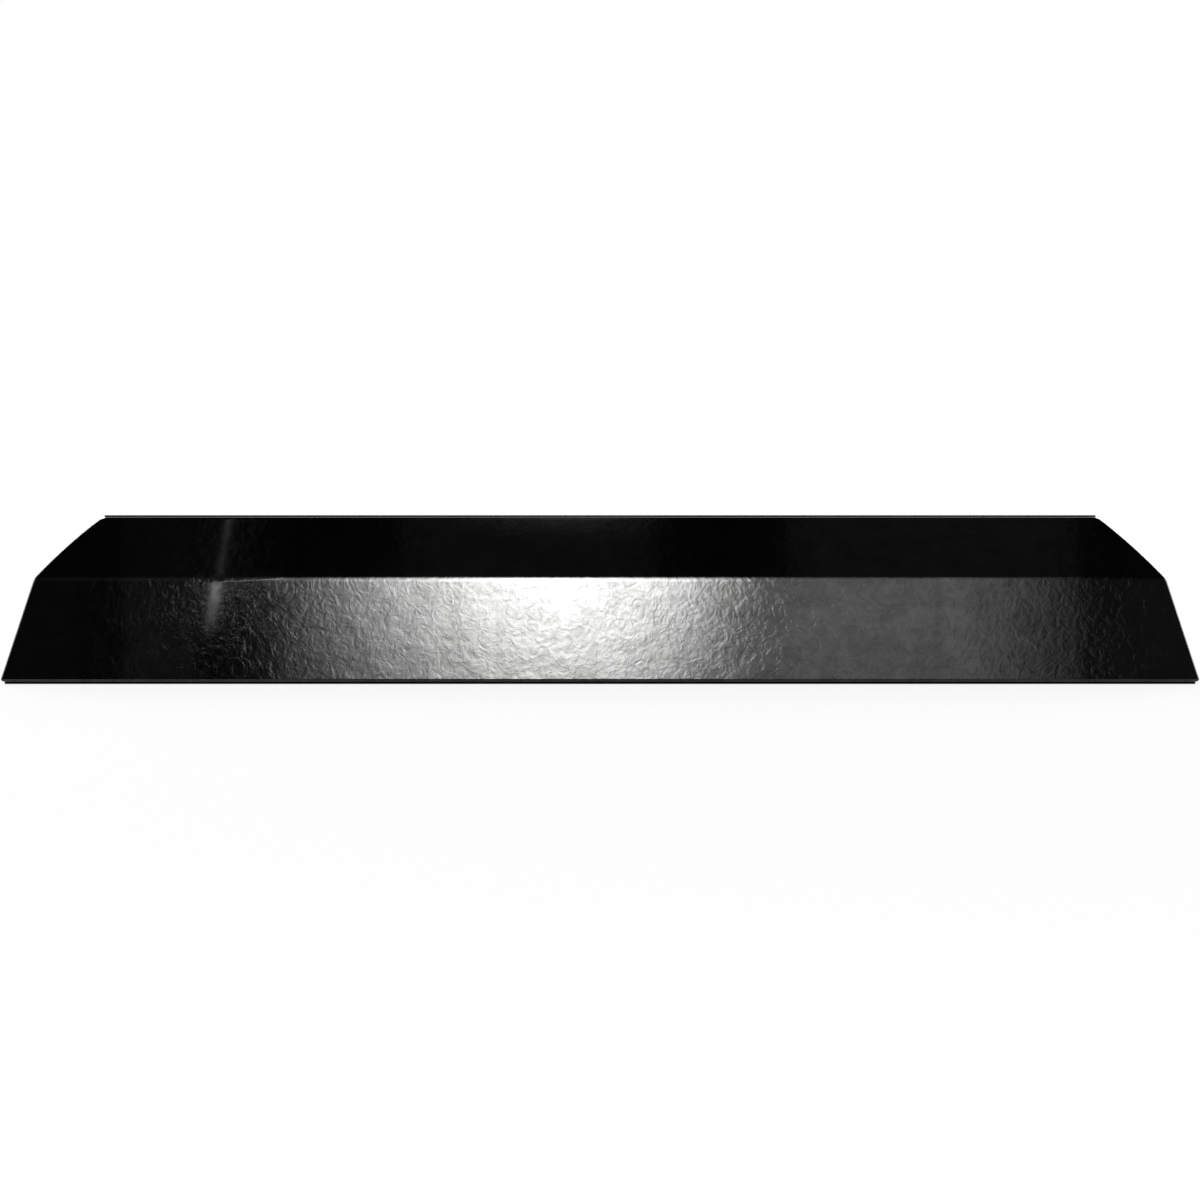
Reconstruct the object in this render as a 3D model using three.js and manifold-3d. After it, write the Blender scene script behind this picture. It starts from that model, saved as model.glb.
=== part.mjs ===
// Kick plate for a free-standing range cooker: a folded and enamelled steel front with mitred end
// returns, hung from three slotted brackets under its top flange. Millimetres, +Z up, front towards -Y.
import * as THREE from 'three';
import { mergeVertices } from 'three/addons/utils/BufferGeometryUtils.js';
import Module from 'manifold-3d';

const wasm = await Module();
wasm.setup();

// ---- Driving dimensions: the enamelled shell ----
const PLATE_WIDTH = 900; // across the two outer foot corners
const PANEL_HEIGHT = 123.5; // sheet shell, bottom flange to top flange
const SHEET = 1.5; // shell thickness
const LOWER_RISE = 77; // height of the lower face
const LOWER_SETBACK = 20.2; // how far the lower face leans back
const UPPER_SETBACK = 40.3; // how far the upper face leans back
const UPPER_CROWN = 1.2; // outward bow of the upper face
const FOOT_BEND = 2.2; // outer bend radii
const FOLD_BEND = 12;
const TOP_BEND = 6;
const BOTTOM_FLANGE = 14; // turned in under the plate
const MITRE_GAP = 0.3; // weld line between the front and each return

// ---- Seals ----
const SEAL_THICKNESS = 1.5;
const FLOOR_SEAL_WIDTH = 9;
const FLOOR_SEAL_INSET = 3; // behind the foot line
const TOP_SEAL_WIDTH = 9;
const TOP_SEAL_INSET = 1; // behind the top corner line
const TOP_SEAL_END = 2; // short of the top corners

// ---- Inner stiffening ----
const GUSSET_SHEET = 1.5;
const GUSSET_LEG = 52; // from the inner corner along each face
const GUSSET_HEIGHT = 50;
const GUSSET_BOTTOM = 12; // measured up the lower face
const STIFFENER_SHEET = 1.2;
const STIFFENER_HEIGHT = 40;
const STIFFENER_BOTTOM = 18; // measured up the lower face
const STIFFENER_DEPTH = 11;
const STIFFENER_LIP = 9; // welded lips above and below the channel
const STIFFENER_FLARE = 3; // how far each channel wall leans
const STIFFENER_END = 96; // clear of each end of the plate

// ---- Fixing brackets ----
const BRACKET_PITCH = 300; // between the three brackets
const BRACKET_SHEET = 2;
const BRACKET_WIDTH = 34;
const BRACKET_DROP = 42; // vertical leg
const BRACKET_BEND = 3.5;
const BRACKET_CORNER = 5;
const BRACKET_NOSE = 4; // material in front of the depth slot
const DEPTH_TRAVEL = 12; // how far a bracket slides front to back
const HEIGHT_SLOT = 20; // slot in the vertical leg, end to end
const HEIGHT_SLOT_BOTTOM = 7; // material under it

// ---- Fasteners, M5 ----
const THREAD = 5;
const HOLE_CLEARANCE = 0.3; // on the diameter of a round hole
const SLOT_CLEARANCE = 0.6; // on the width of a slot
const STUD_EDGE = 8; // from the stud to the rear edge of the top flange
const STUD_HEAD = 7;
const STUD_TAIL = 2.5; // thread left below the nut
const WASHER_OUTER = 15;
const WASHER_THICKNESS = 1.2;
const SPRING_WASHER_OUTER = 9.2;
const SPRING_WASHER_THICKNESS = 1.4;
const SPRING_WASHER_SPLIT = 1;
const NUT_HUB_TOP = 11; // bearing face diameter
const NUT_HUB_END = 8.6;
const NUT_HUB_HEIGHT = 6;
const NUT_WING_SPAN = 26;
const NUT_HEIGHT = 13;
const NUT_WING_THICKNESS = 2.2;

// ---- Clearances ----
const SEAT_GAP = 0.1; // between stacked flat pieces
const INNER_GAP = 0.3; // between the shell and what is welded inside it
const WING_CLEARANCE = 1.5; // from a turning wing to the bracket
const NOSE_CLEARANCE = 3; // from the top bend to a bracket that is fully forward
const ROUND_STEPS = 24;
const BEND_STEPS = 5;
const CROWN_STEPS = 8;
const REACH = 60; // how far cutting shapes run past the piece

// ---- Derived places; Y counts back from the foot line, Z up from the floor ----
const LEAN = Math.atan2(LOWER_SETBACK, LOWER_RISE);
const FOOT_INSET = (FOOT_BEND * (1 + Math.sin(LEAN))) / Math.cos(LEAN) - FOOT_BEND;
const HALF_FOOT = PLATE_WIDTH / 2 + FOOT_INSET; // to the unrounded foot corner
const TOP_SETBACK = LOWER_SETBACK + UPPER_SETBACK;
const PANEL_BOTTOM = SEAL_THICKNESS + SEAT_GAP;
const PANEL_TOP = PANEL_BOTTOM + PANEL_HEIGHT;
const BRACKET_TOP = PANEL_TOP - SHEET - SEAT_GAP;
const WASHER_TOP = BRACKET_TOP - BRACKET_SHEET - SEAT_GAP;
const SPRING_TOP = WASHER_TOP - WASHER_THICKNESS - SEAT_GAP;
const NUT_TOP = SPRING_TOP - SPRING_WASHER_THICKNESS - SEAT_GAP;
const SLOT_WIDTH = THREAD + SLOT_CLEARANCE;
const HOLE_RADIUS = (THREAD + HOLE_CLEARANCE) / 2;
const BRACKET_FRONT = TOP_SETBACK + NOSE_CLEARANCE + DEPTH_TRAVEL / 2; // at mid travel
const STUD_Y = BRACKET_FRONT + BRACKET_NOSE + (DEPTH_TRAVEL + SLOT_WIDTH) / 2;
const REAR = STUD_Y + STUD_EDGE; // rear edge of the top flange and the returns
const BRACKET_REAR = STUD_Y + NUT_WING_SPAN / 2 + DEPTH_TRAVEL / 2 + WING_CLEARANCE + BRACKET_SHEET;
const STATIONS = { left: -BRACKET_PITCH, centre: 0, right: BRACKET_PITCH };
const SIDES = { left: -1, right: 1 };

// ---- Materials ----
const material = (name, color, roughness, metalness) =>
  new THREE.MeshStandardMaterial({ name, color, roughness, metalness });
const ENAMEL = material('black_enamel', 0x0a0b0c, 0.12, 0.0);
const GALVANISED = material('galvanised_steel', 0xa9adb0, 0.45, 1.0);
const ZINC = material('zinc_plated_steel', 0xc3c6c8, 0.3, 1.0);
const RUBBER = material('black_rubber', 0x141414, 0.85, 0.0);

// ---- Solids ----
function solid(geometry) {
  const bare = geometry.index ? geometry : geometry.clone();
  bare.deleteAttribute('normal');
  bare.deleteAttribute('uv');
  const merged = mergeVertices(bare, 1e-5);
  const vertProperties = new Float32Array(merged.attributes.position.array);
  const triVerts = new Uint32Array(merged.index.array);
  return new wasm.Manifold(new wasm.Mesh({ numProp: 3, vertProperties, triVerts }));
}

function geometryOf(manifold) {
  const mesh = manifold.getMesh();
  const geometry = new THREE.BufferGeometry();
  geometry.setAttribute('position', new THREE.BufferAttribute(mesh.vertProperties, 3));
  geometry.setIndex(new THREE.BufferAttribute(mesh.triVerts, 1));
  return geometry;
}

// A prism of a flat outline, with the outline's x and y and the run laid along three directions.
function prism(outline, length, xDirection, yDirection, runDirection, origin) {
  const geometry = new THREE.ExtrudeGeometry(outline, { depth: length, bevelEnabled: false, curveSegments: 8 });
  const place = new THREE.Matrix4().makeBasis(xDirection, yDirection, runDirection).setPosition(origin);
  return geometry.applyMatrix4(place);
}

const X = new THREE.Vector3(1, 0, 0);
const Y = new THREE.Vector3(0, 1, 0);
const Z = new THREE.Vector3(0, 0, 1);
const at = (x, y, z) => new THREE.Vector3(x, y, z);

// The outline is drawn in (setback, height) and runs along X, centred.
const alongWidth = (outline, length, height) =>
  solid(prism(outline, length, Y, Z, X, at(-length / 2, 0, height)));

// A plan outline, in (x, setback), that runs up through everything.
const upright = (outline, bottom, height) => solid(prism(outline, height, X, Y, Z, at(0, 0, bottom)));

const polygon = (points) => new THREE.Shape(points.map(([x, y]) => new THREE.Vector2(x, y)));

// A slot outline with round ends, its length along y.
function slotOutline(width, length) {
  const radius = width / 2;
  const straight = length / 2 - radius;
  const outline = new THREE.Shape();
  outline.absarc(0, straight, radius, 0, Math.PI);
  outline.absarc(0, -straight, radius, Math.PI, 2 * Math.PI);
  return outline;
}

// ---- Folded sheet ----
// Rounds the inner corners of a path; radii holds one radius for each of them.
function bentPath(corners, radii) {
  const path = [corners[0]];
  for (let i = 1; i < corners.length - 1; i += 1) {
    const radius = radii[i - 1];
    const before = corners[i - 1].clone().sub(corners[i]).normalize();
    const after = corners[i + 1].clone().sub(corners[i]).normalize();
    const half = Math.acos(before.dot(after)) / 2;
    if (radius === 0) {
      path.push(corners[i]);
      continue;
    }
    const middle = before.clone().add(after).normalize();
    const centre = corners[i].clone().addScaledVector(middle, radius / Math.sin(half));
    const from = corners[i].clone().addScaledVector(before, radius / Math.tan(half)).sub(centre);
    const turn = (Math.PI - 2 * half) * Math.sign(before.cross(after)) * -1;
    for (let step = 0; step <= BEND_STEPS; step += 1) {
      const spoke = from.clone().rotateAround(new THREE.Vector2(), (turn * step) / BEND_STEPS);
      path.push(centre.clone().add(spoke));
    }
  }
  path.push(corners[corners.length - 1]);
  return path;
}

// The path moved sideways, to its right, by the same distance everywhere.
function beside(path, distance) {
  return path.map((point, i) => {
    const before = path[Math.max(i - 1, 0)];
    const after = path[Math.min(i + 1, path.length - 1)];
    const entering = (i === 0 ? after.clone().sub(point) : point.clone().sub(before)).normalize();
    const leaving = (i === path.length - 1 ? entering.clone() : after.clone().sub(point)).normalize();
    const across = entering.clone().add(leaving).normalize();
    const side = new THREE.Vector2(across.y, -across.x);
    return point.clone().addScaledVector(side, distance / across.dot(leaving));
  });
}

// A closed sheet section: the path is its outer skin, and the sheet lies to the path's right.
const sheetSection = (path, thickness) =>
  new THREE.Shape([...path, ...beside(path, thickness).reverse()]);

const v = (x, y) => new THREE.Vector2(x, y);

// Shell section in (setback, height above its own underside), from the bottom flange to the top flange.
function shellPath() {
  const fold = v(LOWER_SETBACK, LOWER_RISE);
  const top = v(TOP_SETBACK, PANEL_HEIGHT);
  const chord = top.clone().sub(fold);
  const halfChord = chord.length() / 2;
  const radius = (halfChord ** 2 + UPPER_CROWN ** 2) / (2 * UPPER_CROWN);
  const halfAngle = Math.asin(halfChord / radius);
  const inward = v(chord.y, -chord.x).normalize();
  const centre = fold.clone().add(top).multiplyScalar(0.5).addScaledVector(inward, radius - UPPER_CROWN);
  const crown = [];
  for (let step = 1; step < CROWN_STEPS; step += 1) {
    const angle = -(2 * halfAngle * step) / CROWN_STEPS;
    crown.push(fold.clone().rotateAround(centre, angle));
  }
  const corners = [v(BOTTOM_FLANGE, 0), v(0, 0), fold, ...crown, top, v(REAR, PANEL_HEIGHT)];
  return bentPath(corners, [FOOT_BEND, FOLD_BEND, ...crown.map(() => 0), TOP_BEND]);
}

// A point in (setback, height) from its place up the lower face and its depth behind the outer skin.
const behindLowerFace = (up, depth) =>
  v(up * Math.sin(LEAN) + depth * Math.cos(LEAN), up * Math.cos(LEAN) - depth * Math.sin(LEAN));

// ---- Mitres: the 45 degree planes where the front meets a return ----
// What lies in front of both mitre planes, pulled back from them by a clearance along X.
function frontOfMitres(clearance) {
  const apex = HALF_FOOT - clearance;
  const base = apex + REACH;
  return upright(polygon([[-base, -REACH], [base, -REACH], [0, apex]]), -REACH, PANEL_TOP + 2 * REACH);
}

// What lies outside one mitre plane, back to the rear edge.
function besideMitre(side, clearance) {
  const plane = HALF_FOOT + clearance;
  const outside = HALF_FOOT + 2 * REACH;
  const corners = [[plane + REACH, -REACH], [outside, -REACH], [outside, REAR], [plane - REAR, REAR]];
  const outline = corners.map(([x, y]) => [side * x, y]);
  if (side < 0) outline.reverse();
  return upright(polygon(outline), -REACH, PANEL_TOP + 2 * REACH);
}

// A section that runs front to back along one end of the plate, with its setback towards the middle.
function alongEnd(outline, side, height) {
  const start = at(side * HALF_FOOT, side > 0 ? -REACH : REAR + REACH, height);
  const run = Y.clone().multiplyScalar(side);
  return solid(prism(outline, REAR + 2 * REACH, X.clone().multiplyScalar(-side), Z, run, start));
}

const MITRE_CLEARANCE = (MITRE_GAP / 2) * Math.SQRT2; // half the weld line, measured along X

// ---- The shell ----
function frontPanel() {
  const section = sheetSection(shellPath(), SHEET);
  let panel = alongWidth(section, 2 * HALF_FOOT, PANEL_BOTTOM).intersect(frontOfMitres(MITRE_CLEARANCE));
  for (const x of Object.values(STATIONS)) {
    const hole = new THREE.CylinderGeometry(1, 1, 2 * REACH, ROUND_STEPS);
    const radius = (STUD_HEAD + HOLE_CLEARANCE) / 2;
    hole.rotateX(Math.PI / 2).scale(radius, radius, 1).translate(x, STUD_Y, PANEL_TOP);
    panel = panel.subtract(solid(hole));
  }
  return geometryOf(panel);
}

function endReturn(side) {
  const section = sheetSection(shellPath(), SHEET);
  return geometryOf(alongEnd(section, side, PANEL_BOTTOM).intersect(besideMitre(side, MITRE_CLEARANCE)));
}

// ---- Inner stiffening ----
function cornerGusset(side) {
  const near = SHEET + INNER_GAP;
  const far = near + GUSSET_SHEET;
  const top = GUSSET_BOTTOM + GUSSET_HEIGHT;
  const ends = [[GUSSET_BOTTOM, near], [top, near], [top, far], [GUSSET_BOTTOM, far]];
  const strip = new THREE.Shape(ends.map(([up, depth]) => behindLowerFace(up, depth)));
  const joined = -0.05; // the two legs run a little past the mitre plane, so that they are one piece
  const inner = HALF_FOOT - GUSSET_LEG;
  const outer = HALF_FOOT + REACH;
  const corners = [[inner, -REACH], [outer, -REACH], [outer, GUSSET_LEG], [inner, GUSSET_LEG]];
  const outline = corners.map(([x, y]) => [side * x, y]);
  if (side < 0) outline.reverse();
  const block = upright(polygon(outline), -REACH, PANEL_TOP + 2 * REACH);
  const frontLeg = alongWidth(strip, 2 * HALF_FOOT, PANEL_BOTTOM).intersect(frontOfMitres(joined));
  const endLeg = alongEnd(strip, side, PANEL_BOTTOM).intersect(besideMitre(side, joined));
  return geometryOf(frontLeg.add(endLeg).intersect(block));
}

function rearStiffener() {
  const near = SHEET + INNER_GAP;
  const far = near + STIFFENER_DEPTH - STIFFENER_SHEET;
  const top = STIFFENER_BOTTOM + STIFFENER_HEIGHT;
  const path = [
    [STIFFENER_BOTTOM, near],
    [STIFFENER_BOTTOM + STIFFENER_LIP, near],
    [STIFFENER_BOTTOM + STIFFENER_LIP + STIFFENER_FLARE, far],
    [top - STIFFENER_LIP - STIFFENER_FLARE, far],
    [top - STIFFENER_LIP, near],
    [top, near],
  ].map(([up, depth]) => behindLowerFace(up, depth));
  const section = sheetSection(path, STIFFENER_SHEET);
  return geometryOf(alongWidth(section, PLATE_WIDTH - 2 * STIFFENER_END, PANEL_BOTTOM));
}

// ---- Seals ----
function floorSeal() {
  const near = FLOOR_SEAL_INSET;
  const far = near + FLOOR_SEAL_WIDTH;
  const plan = polygon([
    [-(HALF_FOOT - near), REAR],
    [-(HALF_FOOT - near), near],
    [HALF_FOOT - near, near],
    [HALF_FOOT - near, REAR],
    [HALF_FOOT - far, REAR],
    [HALF_FOOT - far, far],
    [-(HALF_FOOT - far), far],
    [-(HALF_FOOT - far), REAR],
  ]);
  return prism(plan, SEAL_THICKNESS, X, Y, Z, at(0, 0, 0));
}

function topSeal() {
  const end = HALF_FOOT - TOP_SETBACK - TOP_SEAL_END;
  const near = TOP_SETBACK + TOP_SEAL_INSET;
  const far = near + TOP_SEAL_WIDTH;
  const plan = polygon([[-end, near], [end, near], [end, far], [-end, far]]);
  return prism(plan, SEAL_THICKNESS, X, Y, Z, at(0, 0, PANEL_TOP + SEAT_GAP));
}

// ---- Fixing brackets, built about x = 0 ----
function fixingBracket() {
  const bottom = BRACKET_TOP - BRACKET_DROP;
  const corners = [v(BRACKET_FRONT, BRACKET_TOP), v(BRACKET_REAR, BRACKET_TOP), v(BRACKET_REAR, bottom)];
  const section = sheetSection(bentPath(corners, [BRACKET_BEND]), BRACKET_SHEET);
  const half = BRACKET_WIDTH / 2;
  const rounded = (far, near) => {
    const outline = new THREE.Shape();
    outline.moveTo(half, far);
    outline.lineTo(-half, far);
    outline.absarc(-half + BRACKET_CORNER, near + BRACKET_CORNER, BRACKET_CORNER, Math.PI, 1.5 * Math.PI);
    outline.absarc(half - BRACKET_CORNER, near + BRACKET_CORNER, BRACKET_CORNER, 1.5 * Math.PI, 2 * Math.PI);
    return outline;
  };
  const plan = upright(rounded(BRACKET_REAR + REACH, BRACKET_FRONT), bottom - REACH, BRACKET_DROP + 2 * REACH);
  const away = Y.clone().negate();
  const rearView = prism(rounded(BRACKET_TOP + REACH, bottom), 3 * REACH, X, Z, away, at(0, BRACKET_REAR + REACH, 0));
  const depthSlot = slotOutline(SLOT_WIDTH, SLOT_WIDTH + DEPTH_TRAVEL);
  const heightSlot = slotOutline(SLOT_WIDTH, HEIGHT_SLOT);
  const slotHeight = bottom + HEIGHT_SLOT_BOTTOM + HEIGHT_SLOT / 2;
  const depthCut = prism(depthSlot, REACH, X, Y, Z, at(0, STUD_Y, BRACKET_TOP - REACH / 2));
  const heightCut = prism(heightSlot, REACH, X, Z, away, at(0, BRACKET_REAR + REACH / 2, slotHeight));
  const bracket = alongWidth(section, BRACKET_WIDTH, 0).intersect(plan).intersect(solid(rearView));
  return geometryOf(bracket.subtract(solid(depthCut)).subtract(solid(heightCut)));
}

// ---- Fasteners, built on the Z axis about their own seat ----
const turned = (profile) =>
  new THREE.LatheGeometry(profile, ROUND_STEPS).rotateX(Math.PI / 2);

// Pressed into the flange with its head flush; z = 0 is the top of the flange.
function clinchStud() {
  const radius = THREAD / 2;
  const chamfer = 0.6;
  const end = PANEL_TOP - (NUT_TOP - NUT_HUB_HEIGHT - STUD_TAIL);
  return turned([
    v(0, -end), v(radius - chamfer, -end), v(radius, -end + chamfer),
    v(radius, -SHEET), v(STUD_HEAD / 2, -SHEET), v(STUD_HEAD / 2, 0), v(0, 0),
  ]);
}

const ring = (inner, outer, thickness) =>
  turned([v(inner, -thickness), v(outer, -thickness), v(outer, 0), v(inner, 0), v(inner, -thickness)]);

const flatWasher = () => ring(HOLE_RADIUS, WASHER_OUTER / 2, WASHER_THICKNESS);

// A split ring; the cut is slanted, as a coiled washer's is.
function springWasher() {
  const outer = SPRING_WASHER_OUTER / 2;
  const whole = solid(ring(HOLE_RADIUS, outer, SPRING_WASHER_THICKNESS));
  const cut = new THREE.BoxGeometry(SPRING_WASHER_SPLIT, outer, 3 * SPRING_WASHER_THICKNESS);
  cut.rotateY(Math.PI / 6).translate(0, (HOLE_RADIUS + outer) / 2, -SPRING_WASHER_THICKNESS / 2);
  return geometryOf(whole.subtract(solid(cut)));
}

function wingNut() {
  const bore = HOLE_RADIUS;
  const tip = NUT_WING_SPAN / 2;
  const hub = turned([
    v(bore, -NUT_HUB_HEIGHT), v(NUT_HUB_END / 2, -NUT_HUB_HEIGHT),
    v(NUT_HUB_TOP / 2, 0), v(bore, 0), v(bore, -NUT_HUB_HEIGHT),
  ]);
  const wing = new THREE.Shape();
  wing.moveTo(bore + 0.6, -1.2);
  wing.lineTo(NUT_HUB_TOP / 2, -1.2);
  wing.quadraticCurveTo(tip - 2, -2.4, tip, -NUT_HEIGHT + 4.4);
  wing.quadraticCurveTo(tip, -NUT_HEIGHT, tip - 3.4, -NUT_HEIGHT);
  wing.quadraticCurveTo(tip - 5.4, -NUT_HEIGHT + 0.4, NUT_HUB_END / 2 + 0.8, -NUT_HUB_HEIGHT + 0.4);
  wing.lineTo(bore + 0.6, -NUT_HUB_HEIGHT + 0.4);
  const half = NUT_WING_THICKNESS / 2;
  const right = prism(wing, NUT_WING_THICKNESS, X, Z, Y.clone().negate(), at(0, half, 0));
  const left = right.clone().rotateZ(Math.PI);
  return geometryOf(solid(hub).add(solid(right)).add(solid(left)));
}

// ---- Assembly ----
const plate = new THREE.Group();

function addPiece(name, geometry, finish, x = 0, y = 0, z = 0) {
  const mesh = new THREE.Mesh(geometry, finish);
  mesh.name = name;
  mesh.position.set(x, y, z);
  plate.add(mesh);
}

addPiece('front_panel', frontPanel(), ENAMEL);
for (const [end, side] of Object.entries(SIDES)) {
  addPiece(`end_return_${end}`, endReturn(side), ENAMEL);
  addPiece(`corner_gusset_${end}`, cornerGusset(side), GALVANISED);
}
addPiece('rear_stiffener', rearStiffener(), GALVANISED);
addPiece('floor_seal', floorSeal(), RUBBER);
addPiece('top_seal', topSeal(), RUBBER);

for (const [station, x] of Object.entries(STATIONS)) {
  addPiece(`fixing_bracket_${station}`, fixingBracket(), GALVANISED, x);
  addPiece(`clinch_stud_${station}`, clinchStud(), ZINC, x, STUD_Y, PANEL_TOP);
  addPiece(`flat_washer_${station}`, flatWasher(), ZINC, x, STUD_Y, WASHER_TOP);
  addPiece(`spring_washer_${station}`, springWasher(), ZINC, x, STUD_Y, SPRING_TOP);
  addPiece(`wing_nut_${station}`, wingNut(), ZINC, x, STUD_Y, NUT_TOP);
}

// The origin is on the floor, at the middle of the footprint.
const outer = new THREE.Box3().setFromObject(plate);
plate.position.set(0, -(outer.min.y + outer.max.y) / 2, -outer.min.z);

export default plate;
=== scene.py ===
import math

import bmesh
import bpy
from mathutils import Matrix, Vector


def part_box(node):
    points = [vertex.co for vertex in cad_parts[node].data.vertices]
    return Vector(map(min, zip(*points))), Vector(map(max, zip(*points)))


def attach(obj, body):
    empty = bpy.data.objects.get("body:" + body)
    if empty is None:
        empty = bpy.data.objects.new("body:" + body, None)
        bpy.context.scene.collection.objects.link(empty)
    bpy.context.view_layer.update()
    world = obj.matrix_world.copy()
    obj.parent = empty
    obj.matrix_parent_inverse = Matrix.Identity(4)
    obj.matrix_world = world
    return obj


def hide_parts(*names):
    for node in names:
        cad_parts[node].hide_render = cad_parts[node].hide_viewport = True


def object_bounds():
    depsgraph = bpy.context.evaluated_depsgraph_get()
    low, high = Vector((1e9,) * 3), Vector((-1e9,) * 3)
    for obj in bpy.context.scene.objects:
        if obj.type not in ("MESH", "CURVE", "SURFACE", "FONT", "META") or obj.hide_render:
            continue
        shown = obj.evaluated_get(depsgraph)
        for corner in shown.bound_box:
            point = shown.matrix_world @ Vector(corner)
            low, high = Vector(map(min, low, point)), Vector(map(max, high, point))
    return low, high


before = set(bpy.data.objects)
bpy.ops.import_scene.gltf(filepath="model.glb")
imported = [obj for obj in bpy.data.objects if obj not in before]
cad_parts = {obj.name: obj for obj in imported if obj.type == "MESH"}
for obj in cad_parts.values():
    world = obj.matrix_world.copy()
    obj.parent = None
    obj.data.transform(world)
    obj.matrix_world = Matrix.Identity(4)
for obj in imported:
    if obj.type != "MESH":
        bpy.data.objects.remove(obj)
cad_low, cad_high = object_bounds()

MM = 0.001
STATIONS = ("left", "centre", "right")

# ---- The enamelled shell; its width, height and depth come from the frame ----
SHEET = 1.5 * MM
LOWER_RISE = 77 * MM
LOWER_SETBACK = 20.2 * MM
UPPER_SETBACK = 40.3 * MM
UPPER_CROWN = 1.2 * MM
FOOT_BEND = 2.2 * MM
FOLD_BEND = 12 * MM
TOP_BEND = 6 * MM
BOTTOM_FLANGE = 14 * MM
CROWN_STEPS = 10
HIP_ROUND = 1.7 * MM  # how far the dressed corner weld is rounded into each face
WELD_LINE = 0.05 * MM  # half of the hairline left at each mitre
RIM_ROUND = 0.3 * MM
STUD_HOLE_GAP = 0.1 * MM  # round each stud head

LEAN = math.atan2(LOWER_SETBACK, LOWER_RISE)
FOOT_INSET = FOOT_BEND * (1 + math.sin(LEAN)) / math.cos(LEAN) - FOOT_BEND
PULL_IN = 0.03 * MM  # keeps the rounded foot inside the faceted one
panel_low, panel_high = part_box("front_panel")
FOOT_Y = panel_low.y - FOOT_INSET + PULL_IN
HALF_FOOT = cad_high.x + FOOT_INSET - PULL_IN
BOTTOM, TOP, REAR = panel_low.z, panel_high.z, panel_high.y
TOP_Y = FOOT_Y + LOWER_SETBACK + UPPER_SETBACK

# ---- Seals ----
SEAL_WIDTH = 9 * MM
SEAL_ROUND = 0.3 * MM

# ---- Inner pieces ----
INNER_GAP = 0.3 * MM
GUSSET_SHEET = 1.5 * MM
GUSSET_BOTTOM = 12 * MM
GUSSET_TOP = 62 * MM
GUSSET_BEND = 3 * MM
GUSSET_CORNER = 5 * MM
STIFFENER_SHEET = 1.2 * MM
STIFFENER_HEIGHT = 40 * MM
STIFFENER_BOTTOM = 18 * MM
STIFFENER_DEPTH = 11 * MM
STIFFENER_LIP = 9 * MM
STIFFENER_FLARE = 3 * MM
STIFFENER_EASE = 1.6 * MM  # how far each fold eats into its faces
WELD_PITCH = 60 * MM
INNER_ROUND = 0.2 * MM

# ---- Brackets and fasteners ----
BRACKET_SHEET = 2 * MM
BRACKET_BEND = 3.5 * MM
BRACKET_CORNER = 5 * MM
BRACKET_ROUND = 0.25 * MM
SLOT_WIDTH = 5.6 * MM
DEPTH_TRAVEL = 12 * MM
HEIGHT_SLOT = 20 * MM
HEIGHT_SLOT_BOTTOM = 7 * MM
THREAD_RADIUS = 2.5 * MM
THREAD_PITCH = 0.8 * MM
THREAD_DEPTH = 0.42 * MM
STUD_COLLAR = 0.8 * MM  # plain length under the sheet
STUD_TIP = 0.6 * MM
STUD_ROUND = 0.15 * MM
HOLE_RADIUS = 2.65 * MM
WASHER_ROUND = 0.2 * MM
SPRING_WIRE_ROUND = 0.18 * MM
SPRING_RISE = 0.15 * MM
SPRING_GAP = math.radians(13)
SPRING_STEPS = 44
NUT_HUB_HEIGHT = 6 * MM
NUT_BEARING_RADIUS = 5.5 * MM
NUT_END_RADIUS = 4.35 * MM
NUT_ROUND = 0.4 * MM
NUT_CHAMFER = 0.35 * MM
NUT_HALF_SPAN = 13 * MM
WING_LOBE = 3.7 * MM
WING_THICKNESS = 2.2 * MM
WING_ROUND = 0.6 * MM
CASTING_GRAIN = 0.28 * MM
ROUND_STEPS = 48

# ---- The studio ----
TENT_RADIUS = 2.0
TENT_HALF = 1.9
TENT_MIDDLE = Vector((0, 0, 0.06))
TENT_START, TENT_SWEEP = math.radians(3), math.radians(127)
SHARP = 0.004  # half the soft edge of a crisply cut lit patch
FLOOR_HALF = 8
FLOOR_DROP = 0.3 * MM

# ---- The view ----
VIEW_ANGLE = math.radians(40)
VIEW_DOWN = math.radians(2.98)
VIEW_DISTANCE = 1.2330  # to the foot of the plate
VIEW_HEIGHT = 0.0634  # where the view's middle crosses the foot line


# ---------------------------------------------------------------- shaders

class Wire:
    """An output socket that takes part in Python arithmetic; each operation adds a Math node."""

    def __init__(self, tree, socket):
        self.tree, self.socket = tree, socket

    def _math(self, operation, first, second):
        return self.tree.node("ShaderNodeMath", {"operation": operation}, {0: first, 1: second})

    def __add__(self, other):
        return self._math("ADD", self, other)

    def __radd__(self, other):
        return self._math("ADD", other, self)

    def __sub__(self, other):
        return self._math("SUBTRACT", self, other)

    def __rsub__(self, other):
        return self._math("SUBTRACT", other, self)

    def __mul__(self, other):
        return self._math("MULTIPLY", self, other)

    def __rmul__(self, other):
        return self._math("MULTIPLY", other, self)

    def __pow__(self, other):
        return self._math("POWER", self, other)

    def __abs__(self):
        return self.tree.node("ShaderNodeMath", {"operation": "ABSOLUTE"}, {0: self})


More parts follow.
